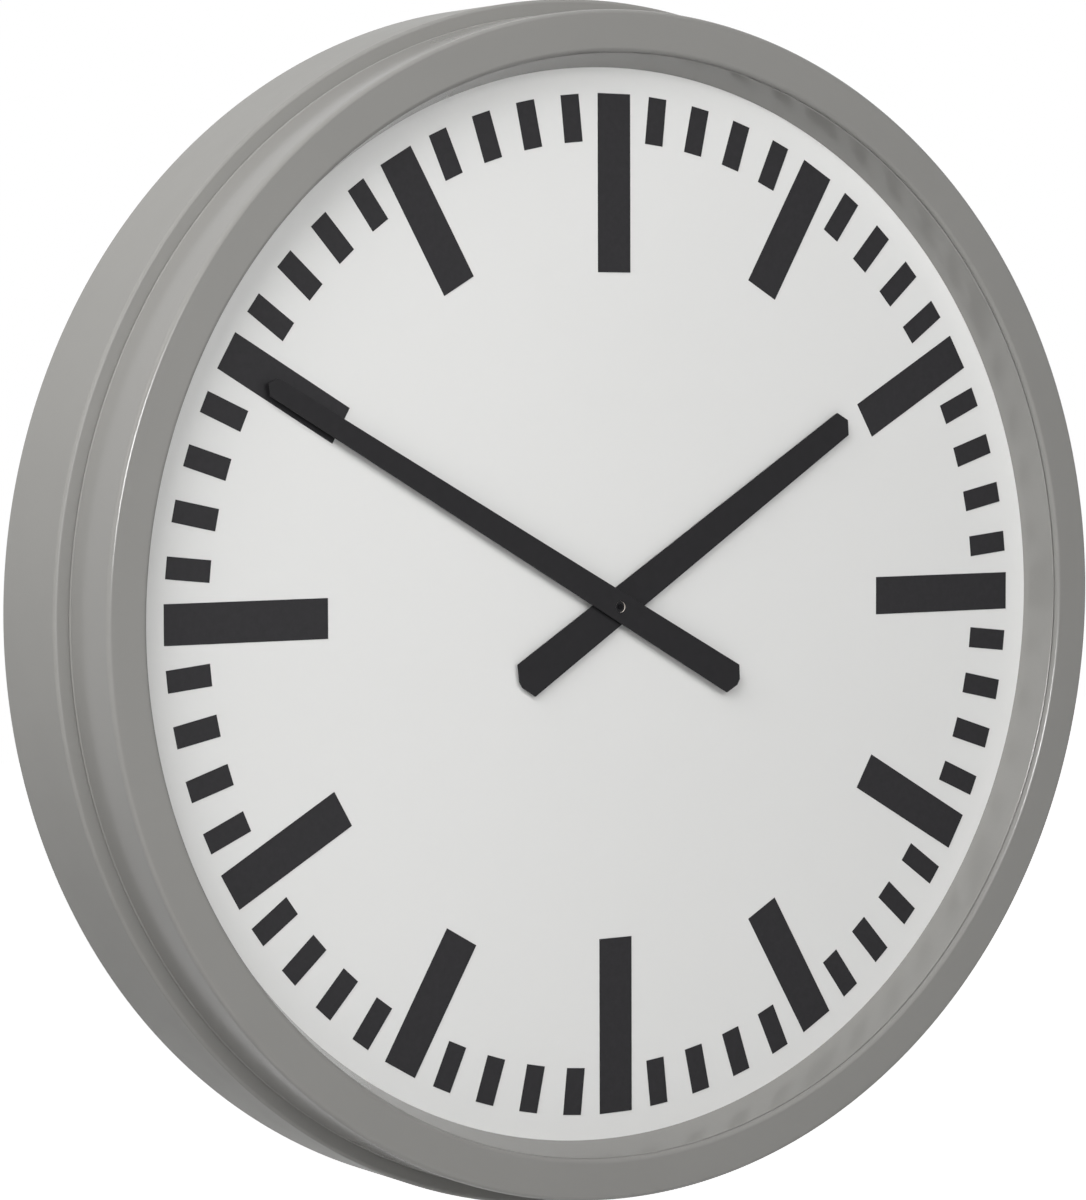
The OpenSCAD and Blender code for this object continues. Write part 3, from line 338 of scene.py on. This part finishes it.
def case_enamel(settings, name, gloss, shine=0.22):
    """Stove enamel on spun steel: cloudy tone, patchy roughness, orange peel and broad waves."""
    finish = Finish(name, settings.enamel, gloss)
    cloud = finish.noise(0.11, 3.0, 0.55)
    finish.to("Base Color", finish.shade(cloud, 0.965, 1.035))
    finish.to("Roughness", finish.spread(finish.noise(0.03, 4.0, 0.6), gloss - 0.05, gloss + 0.07))
    peel = finish.bump(finish.noise(0.004, 2.0), 0.02 * MM, 0.2)
    waves = finish.bump(finish.noise(0.05, 1.0), 0.25 * MM, 0.15, below=peel)
    finish.to("Normal", waves)
    finish.set(finish.shader, {"Specular IOR Level": shine})
    return finish.material


def dial_enamel(settings):
    """Matt off-white enamel on sheet: faint clouding and a fine sprayed grain."""
    finish = Finish("dial_enamel", settings.enamel, 0.55)
    finish.set(finish.shader, {"Specular IOR Level": 0.2})
    cloud = finish.noise(0.16, 3.0, 0.5)
    finish.to("Base Color", finish.shade(cloud, 0.985, 1.01))
    grain = finish.bump(finish.noise(0.0014, 3.0), 0.02 * MM, 0.3)
    finish.to("Normal", grain)
    finish.to("Roughness", finish.spread(finish.noise(0.006, 3.0), 0.48, 0.62))
    return finish.material


def mark_film(settings):
    """Matt charcoal film with a fine mottle."""
    finish = Finish("mark_film", settings.marks, 0.6)
    finish.set(finish.shader, {"Specular IOR Level": 0.15})
    mottle = finish.noise(0.0045, 5.0, 0.65)
    finish.to("Base Color", finish.shade(mottle, 0.70, 1.32))
    finish.to("Roughness", finish.spread(finish.noise(0.002, 3.0), 0.5, 0.72))
    finish.to("Normal", finish.bump(finish.noise(0.0012, 2.0), 0.02 * MM, 0.35))
    return finish.material


def hand_enamel(settings):
    """Satin charcoal enamel on stamped aluminium."""
    finish = Finish("hand_enamel", settings.enamel, 0.42)
    finish.set(finish.shader, {"Specular IOR Level": 0.12})
    mottle = finish.noise(0.006, 4.0, 0.6)
    finish.to("Base Color", finish.shade(mottle, 0.82, 1.2))
    finish.to("Roughness", finish.spread(finish.noise(0.004, 3.0), 0.36, 0.52))
    finish.to("Normal", finish.bump(finish.noise(0.0015, 2.0), 0.02 * MM, 0.35))
    return finish.material


def zinc_plate():
    """Bright zinc on steel, with a grain of small clouds."""
    finish = Finish("zinc_plate", (0.60, 0.61, 0.62), 0.34, 1.0)
    cloud = finish.noise(0.004, 4.0, 0.6)
    finish.to("Base Color", finish.shade(cloud, 0.82, 1.12))
    finish.to("Roughness", finish.spread(cloud, 0.26, 0.46))
    return finish.material


def panel_paint():
    """Thin grey primer on sheet, with rolled grain and scuffs."""
    finish = Finish("panel_paint", (0.185, 0.185, 0.180), 0.55, 0.25)
    stretched = finish.place(scale=(6.0, 1.0, 400.0))
    grain = finish.node("TexNoise", {"Scale": 4.0, "Detail": 4.0}, {"Vector": stretched}).outputs["Fac"]
    finish.to("Base Color", finish.shade(grain, 0.88, 1.12))
    finish.to("Roughness", finish.spread(finish.noise(0.02, 4.0), 0.42, 0.66))
    finish.to("Normal", finish.bump(grain, 0.03 * MM, 0.3))
    return finish.material


def turned_brass():
    """Brass with the rings that a lathe leaves."""
    finish = Finish("turned_brass", (0.70, 0.52, 0.24), 0.3, 1.0)
    centred = finish.place(shift=tuple(-DIAL_CENTRE))
    rings = finish.node("TexWave", {"Scale": 2500.0, "Distortion": 0.4, "Detail": 1.0}, {"Vector": centred},
                        wave_type="RINGS", rings_direction="Y").outputs["Fac"]
    finish.to("Roughness", finish.spread(rings, 0.22, 0.38))
    finish.to("Base Color", finish.shade(finish.noise(0.003, 3.0), 0.88, 1.08))
    finish.to("Normal", finish.bump(rings, 0.01 * MM, 0.4))
    return finish.material


def moulded(name, colour, roughness, soft=0.0):
    """Moulded plastic or rubber with a spark-eroded grain; soft lets light a little way in."""
    finish = Finish(name, colour, roughness)
    finish.to("Base Color", finish.shade(finish.noise(0.012, 3.0), 0.93, 1.06))
    finish.to("Roughness", finish.spread(finish.noise(0.004, 3.0), roughness - 0.05, roughness + 0.08))
    finish.to("Normal", finish.bump(finish.noise(0.0006, 3.0), 0.02 * MM, 0.5))
    if soft:
        finish.set(finish.shader, {"Subsurface Weight": soft, "Subsurface Scale": 0.0012})
    return finish.material


def wheel_on_arbor():
    """Nylon moulded on a steel arbor, told apart by the distance from the axis; the arbor's near black is
    painted shade.
    """
    finish = Finish("wheel_on_arbor", (0.72, 0.69, 0.60), 0.4)
    flat = finish.node("VectorMath", {1: (1, 0, 1)}, {0: finish.place(shift=tuple(-DIAL_CENTRE))},
                       operation="MULTIPLY").outputs["Vector"]
    out = finish.node("VectorMath", links={0: flat}, operation="LENGTH").outputs["Value"]
    # painted shade: the steel arbor's end is coloured near black so that the hub hole looks deep and shaded
    steel = finish.spread(out, 1.0, 0.0, ARBOR_R - 0.02 * MM, ARBOR_R + 0.02 * MM)
    finish.to("Base Color", finish.blend(steel, finish.colour, (0.008, 0.008, 0.009)))
    finish.to("Metallic", steel)
    finish.to("Roughness", finish.spread(finish.noise(0.002, 3.0), 0.33, 0.45))
    return finish.material


def lined_collet():
    """Collet near black, partly its blackened finish and partly painted shade for the hub hole; its bore is
    bare and pale.
    """
    finish = Finish("lined_collet", (0.008, 0.008, 0.009), 0.5)
    facing = finish.node("SeparateXYZ", links={"Vector": finish.node("TexCoord").outputs["Normal"]})
    slope = finish.node("Math", links={0: facing.outputs["Y"]}, operation="ABSOLUTE").outputs[0]
    bare = finish.spread(slope, 1.0, 0.0, 0.2, 0.5)
    # painted shade in part: the collet's near black also stands in for the shade at the bottom of the hub
    # hole, while the bore stays pale
    finish.to("Base Color", finish.blend(bare, finish.colour, (0.80, 0.72, 0.65)))
    finish.to("Roughness", finish.spread(finish.noise(0.001, 3.0), 0.35, 0.5))
    finish.set(finish.shader, {"Specular IOR Level": 0.15})
    return finish.material


def stamped_metal(name, colour, roughness):
    """Bare stamped or sintered metal with a fine grain."""
    finish = Finish(name, colour, roughness, 1.0)
    finish.to("Base Color", finish.shade(finish.noise(0.0012, 4.0), 0.82, 1.12))
    finish.to("Normal", finish.bump(finish.noise(0.0005, 3.0), 0.01 * MM, 0.4))
    return finish.material


def wound_copper():
    """Enamelled wire: fine bands square to the coil's axis, darkened as painted shade where the turns meet.
    """
    finish = Finish("wound_copper", (0.60, 0.27, 0.13), 0.3, 0.9)
    bands = finish.node("TexWave", {"Scale": 1600.0, "Distortion": 0.3}, {"Vector": finish.place()},
                        wave_type="BANDS", bands_direction="X").outputs["Fac"]
    # painted shade: the colour darkens with the bands' valleys between the turns
    finish.to("Base Color", finish.shade(bands, 0.6, 1.15))
    finish.to("Normal", finish.bump(bands, 0.06 * MM, 0.7))
    return finish.material


def cell_sleeve():
    """Printed battery sleeve: a dark body with a gold band at the plus end."""
    finish = Finish("cell_sleeve", (0.045, 0.045, 0.05), 0.32, 0.35)
    along = finish.node("SeparateXYZ", links={"Vector": finish.place()}).outputs["X"]
    band = finish.spread(along, 0.0, 1.0, BAND_X - 0.2 * MM, BAND_X + 0.2 * MM)
    finish.to("Base Color", finish.blend(band, finish.colour, (0.62, 0.42, 0.16)))
    finish.to("Roughness", finish.spread(finish.noise(0.003, 3.0), 0.25, 0.42))
    return finish.material


# Pieces


def dress(nodes, material):
    """Gives carried-over CAD nodes a material."""
    for name in nodes:
        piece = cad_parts[name]
        piece.data.materials.clear()
        piece.data.materials.append(material)


def soften(nodes, width):
    """Rounds the edges of CAD nodes: their loose triangles are merged and then bevelled."""
    for name in nodes:
        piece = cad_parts[name]
        weld = piece.modifiers.new("weld", "WELD")
        weld.merge_threshold = 0.002 * MM
        bevel = piece.modifiers.new("edge", "BEVEL")
        bevel.width = width
        bevel.segments = 2
        bevel.limit_method = "ANGLE"
        bevel.angle_limit = math.radians(35)
        bevel.harden_normals = True
        bevel.use_clamp_overlap = True


def drum_shell(case):
    """The rear drum, from its rim on the wall round to the inner edge of its front flange."""
    t = case.sheet / MM
    r, front = CASE_R / MM, SHOULDER_H / MM
    rim_r, flange_r = r - case.rim / MM, r - case.flange / MM
    corners = [(rim_r, 0), (r, 0), (r, front), (flange_r, front),
               (flange_r, front - t), (r - t, front - t), (r - t, t), (rim_r, t)]
    radii = [CUT, REAR_BEND, case.shoulder_bend / MM, CUT, CUT, SHOULDER_INNER, RIM_INNER, CUT]
    enamel = case_enamel(case, "drum_enamel", case.drum_gloss)
    return ring_piece("drum_shell", [(corners, radii)], case.steps, enamel)


def lip_radius(case):
    """Radius of the bezel's opening, in millimetres."""
    return (BEZEL_R - case.bead * BEAD_OUT - case.bezel_face) / MM


def bezel_shell(case):
    """The bezel: a wall on a round bead, a flat front and a short lip turned in at the opening."""
    t, bead = case.sheet / MM, case.bead / MM
    r = BEZEL_R / MM - bead * BEAD_OUT
    foot, top = SHOULDER_H / MM + SEAT_GAP + bead, BEZEL_FRONT_H / MM
    lip_r = lip_radius(case)
    front_bend, lip_bend = case.front_bend / MM, case.lip_bend / MM
    edge = top - lip_bend - case.lip / MM
    corners = [(r - t, foot), (r, foot), (r, top), (lip_r, top), (lip_r, edge), (lip_r + t, edge),
               (lip_r + t, top - t), (r - t, top - t)]
    radii = [FINE_CUT, FINE_CUT, front_bend, lip_bend, CUT, CUT, lip_bend - t, front_bend - t]
    sides = 8
    turn = np.linspace(0, 2 * np.pi, sides, endpoint=False)
    bead_round = bead / math.cos(math.pi / sides) * np.stack([np.cos(turn), np.sin(turn)], 1)
    bead_corners = np.array([r - bead * (1 - BEAD_OUT), foot]) + bead_round
    enamel = case_enamel(case, "bezel_enamel", case.gloss, shine=0.25)
    return ring_piece("bezel_shell", [(corners, radii), (bead_corners, [bead] * sides)], case.steps, enamel)


def reflector_cone(case):
    """The sloping ring: a foot on the dial, the cone, and a flange behind the bezel's front."""
    t = case.ring_sheet / MM
    dial, top = DIAL_FRONT_H / MM, RING_TOP_H / MM
    view_r = lip_radius(case) - case.lean / MM
    lean_r = lip_radius(case) - case.lip_cover / MM
    corners = [(view_r + RING_FOOT, dial), (view_r + RING_FOOT, dial + t), (view_r + t * 1.3, dial + t),
               (lean_r + t * 1.2, top - t), (RING_R / MM, top - t), (RING_R / MM, top),
               (lean_r, top), (view_r, dial)]
    radii = [FINE_CUT, FINE_CUT, CUT, CUT, CUT, CUT, RING_EDGE, FINE_CUT]
    enamel = case_enamel(case, "ring_enamel", case.ring_gloss, shine=0.6)
    return ring_piece("reflector_cone", [(corners, radii)], case.steps, enamel)


class CLOCK_OT_case(bpy.types.Operator):
    """Makes the drum, the bezel and the reflector ring"""

    bl_idname = "clock.make_case"
    bl_label = "Make case"

    def execute(self, context):
        case = context.scene.clock_case
        drum = drum_shell(case)
        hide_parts("case_drum")
        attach(drum, "case")
        bezel = bezel_shell(case)
        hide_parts("bezel_ring")
        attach(bezel, "case")
        reflector = reflector_cone(case)
        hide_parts("reflector_ring")
        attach(reflector, "case")
        return {"FINISHED"}


class CLOCK_OT_dial(bpy.types.Operator):
    """Makes the dial and finishes its marks"""

    bl_idname = "clock.make_dial"
    bl_label = "Make dial"

    def execute(self, context):
        settings = context.scene.clock_dial
        hole = settings.hole / MM
        back, front, r = DIAL_BACK_H / MM, DIAL_FRONT_H / MM, DIAL_R / MM
        corners = [(hole, back), (r, back), (r, front), (hole, front)]
        dial = ring_piece("dial_face", [(corners, [FINE_CUT] * 4)],
                          context.scene.clock_case.steps, dial_enamel(settings))
        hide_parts("dial_plate")
        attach(dial, "case")
        dress(["hour_marks", "minute_marks"], mark_film(settings))
        return {"FINISHED"}


class CLOCK_OT_hands(bpy.types.Operator):
    """Finishes the hands and their collets"""

    bl_idname = "clock.make_hands"
    bl_label = "Make hands"

    def execute(self, context):
        settings = context.scene.clock_hands
        dress(["minute_hand", "hour_hand"], hand_enamel(settings))
        soften(["minute_hand", "hour_hand"], settings.edge)
        dress(["minute_collet"], lined_collet())
        soften(["minute_collet"], 0.1 * MM)
        dress(["hour_collet", "centre_bush", "bush_nut"], turned_brass())
        return {"FINISHED"}


class CLOCK_OT_movement(bpy.types.Operator):
    """Finishes the movement, its wheels and its battery"""

    bl_idname = "clock.make_movement"
    bl_label = "Make movement"

    def execute(self, context):
        dress(["movement_front", "movement_back"], moulded("black_case_plastic", (0.022, 0.022, 0.024), 0.5))
        dress(["train_plate"], moulded("plate_plastic", (0.24, 0.20, 0.14), 0.5))
        dress(["centre_wheel"], wheel_on_arbor())
        dress(["hour_wheel", "motion_wheel", "third_wheel", "seconds_wheel", "drive_wheel"],
              moulded("wheel_nylon", (0.72, 0.69, 0.60), 0.4, soft=0.2))
        dress(["setting_knob"], moulded("knob_plastic", (0.76, 0.76, 0.73), 0.3))
        dress(["rotor"], stamped_metal("sintered_magnet", (0.13, 0.13, 0.14), 0.45))
        dress(["stator"], stamped_metal("core_iron", (0.45, 0.45, 0.47), 0.38))
        dress(["coil"], wound_copper())
        dress(["circuit_board"], moulded("solder_mask", (0.02, 0.12, 0.055), 0.25))
        dress(["battery"], cell_sleeve())
        soften(["movement_front", "movement_back"], 0.4 * MM)
        return {"FINISHED"}


class CLOCK_OT_fixings(bpy.types.Operator):
    """Finishes the back panel, the hanger, the brackets, the posts and every screw"""

    bl_idname = "clock.make_fixings"
    bl_label = "Make fixings"

    def execute(self, context):
        dress(["back_panel"], panel_paint())
        dress(["hanger_plate", "hanger_rivets", "panel_screws", "bezel_brackets", "bezel_screws",
               "reflector_rivets", "dial_posts", "dial_screws", "movement_screws", "bush_washer",
               "battery_contacts"], zinc_plate())
        dress(["wall_pads", "rubber_washer"], moulded("pad_rubber", (0.018, 0.018, 0.018), 0.75))
        return {"FINISHED"}


def lamp(name, place, aim, size, power, spread=180, mirrored=False):
    """A softbox of that width and height, aimed at a point; gloss shows it only where mirrored is set."""
    data = bpy.data.lights.new(name, "AREA")
    data.shape = "RECTANGLE"
    data.size, data.size_y = size
    data.energy = power
    data.spread = math.radians(spread)
    made = bpy.data.objects.new(name, data)
    made.location = place
    made.rotation_euler = (Vector(aim) - Vector(place)).to_track_quat("-Z", "Y").to_euler()
    made.visible_camera = False
    made.visible_glossy = mirrored
    bpy.context.scene.collection.objects.link(made)
    return made


def seen_ray(tree):
    """1 on a ray by which the background is seen or mirrored, and 0 on one that only lights."""
    ray = tree.nodes.new("ShaderNodeLightPath")
    seen = ray.outputs["Is Camera Ray"]
    for kind in ("Is Glossy Ray", "Is Transmission Ray"):
        either = tree.nodes.new("ShaderNodeMath")
        either.operation = "MAXIMUM"
        tree.links.new(seen, either.inputs[0])
        tree.links.new(ray.outputs[kind], either.inputs[1])
        seen = either.outputs[0]
    return seen


def studio_world(strength):
    """A world that lights the clock evenly and looks white where it is seen or mirrored."""
    world = bpy.data.worlds.new("studio_world")
    world.use_nodes = True
    tree = world.node_tree
    tree.nodes.clear()
    light = tree.nodes.new("ShaderNodeBackground")
    light.inputs["Color"].default_value = (1, 1, 1, 1)
    light.inputs["Strength"].default_value = strength
    white = tree.nodes.new("ShaderNodeBackground")
    white.inputs["Color"].default_value = (1, 1, 1, 1)
    white.inputs["Strength"].default_value = 1.0
    mix = tree.nodes.new("ShaderNodeMixShader")
    output = tree.nodes.new("ShaderNodeOutputWorld")
    tree.links.new(seen_ray(tree), mix.inputs["Fac"])
    tree.links.new(light.outputs[0], mix.inputs[1])
    tree.links.new(white.outputs[0], mix.inputs[2])
    tree.links.new(mix.outputs[0], output.inputs["Surface"])
    bpy.context.scene.world = world


class CLOCK_OT_stage(bpy.types.Operator):
    """Sets the camera, the lights, the floor and the world"""

    bl_idname = "clock.make_stage"
    bl_label = "Make stage"

    def execute(self, context):
        stage = context.scene.clock_stage
        data = bpy.data.cameras.new("camera")
        data.lens = stage.lens
        data.sensor_width = 36
        data.sensor_fit = "AUTO"
        data.clip_start, data.clip_end = 0.05, 50
        camera = bpy.data.objects.new("camera", data)
        place, aim = Vector(stage.camera), Vector(stage.aim)
        turned = (aim - place).to_track_quat("-Z", "Y").to_matrix() @ Matrix.Rotation(stage.roll, 3, "Z")
        camera.location = place
        camera.rotation_euler = turned.to_euler()
        context.scene.collection.objects.link(camera)
        context.scene.camera = camera
        context.scene.view_settings.view_transform = "Standard"

        centre = Vector(DIAL_CENTRE)
        lamp("key_softbox", (-2.1, -1.3, 1.08), centre, (2.4, 2.0), stage.key)
        lamp("front_softbox", (-0.4, -3.0, 0.9), centre, (1.6, 1.4), stage.front)
        lamp("top_softbox", (-1.6, 0.3, 2.0), centre, (1.6, 1.6), stage.top)
        lamp("fill_softbox", (0.6, -2.9, 0.2), centre, (1.4, 1.4), stage.fill)
        edge = lamp("edge_softbox", (-0.67, -3.0, 0.2), centre, (1.0, 0.62), stage.edge, mirrored=True)
        edge.visible_diffuse = False
        lamp("back_softbox", (1.2, 2.8, -0.4), centre, (1.2, 1.2), stage.back, 90)
        studio_world(stage.sky)

        floor_mesh = bpy.data.meshes.new("floor")
        corners = [(-1, -1), (1, -1), (1, 1), (-1, 1)]
        floor_mesh.from_pydata([(x * FLOOR_REACH, y * FLOOR_REACH, stage.floor_h) for x, y in corners],
                               [], [(0, 1, 2, 3)])
        floor = bpy.data.objects.new("floor", floor_mesh)
        context.scene.collection.objects.link(floor)
        paint = Finish("floor_paint", (0.78, 0.78, 0.78), 0.9)
        away = paint.node("VectorMath", links={0: paint.place()}, operation="LENGTH").outputs["Value"]
        glow = paint.spread(away, 0.45, 1.0, GLOW_NEAR, GLOW_FAR)
        seen_glow = paint.node("Math", links={0: seen_ray(paint.tree), 1: glow}, operation="MULTIPLY")
        paint.to("Emission Strength", seen_glow.outputs[0])
        paint.set(paint.shader, {"Emission Color": (1, 1, 1, 1)})
        floor_mesh.materials.append(paint.material)
        return {"FINISHED"}


class CLOCK_PT_panel(bpy.types.Panel):
    """The clock's pieces and stage"""

    bl_label = "Round Wall Clock"
    bl_idname = "CLOCK_PT_panel"
    bl_space_type = "VIEW_3D"
    bl_region_type = "UI"
    bl_category = "Clock"

    def draw(self, context):
        for settings in (context.scene.clock_case, context.scene.clock_dial,
                         context.scene.clock_hands, context.scene.clock_stage):
            box = self.layout.box()
            for key in settings.__annotations__:
                box.prop(settings, key)
        for operator in OPERATORS:
            self.layout.operator(operator.bl_idname)


SETTINGS = {"clock_case": CaseSettings, "clock_dial": DialSettings,
            "clock_hands": HandSettings, "clock_stage": StageSettings}
OPERATORS = (CLOCK_OT_case, CLOCK_OT_dial, CLOCK_OT_hands, CLOCK_OT_movement, CLOCK_OT_fixings,
             CLOCK_OT_stage)


def register():
    for cls in (*SETTINGS.values(), *OPERATORS, CLOCK_PT_panel):
        bpy.utils.register_class(cls)
    for name, cls in SETTINGS.items():
        setattr(bpy.types.Scene, name, bpy.props.PointerProperty(type=cls))


def unregister():
    for name in SETTINGS:
        delattr(bpy.types.Scene, name)
    for cls in (CLOCK_PT_panel, *reversed(OPERATORS), *reversed(SETTINGS.values())):
        bpy.utils.unregister_class(cls)


def main():
    register()
    bpy.ops.clock.make_case()
    bpy.ops.clock.make_dial()
    bpy.ops.clock.make_hands()
    bpy.ops.clock.make_movement()
    bpy.ops.clock.make_fixings()
    bpy.ops.clock.make_stage()


if __name__ == "__main__":
    main()
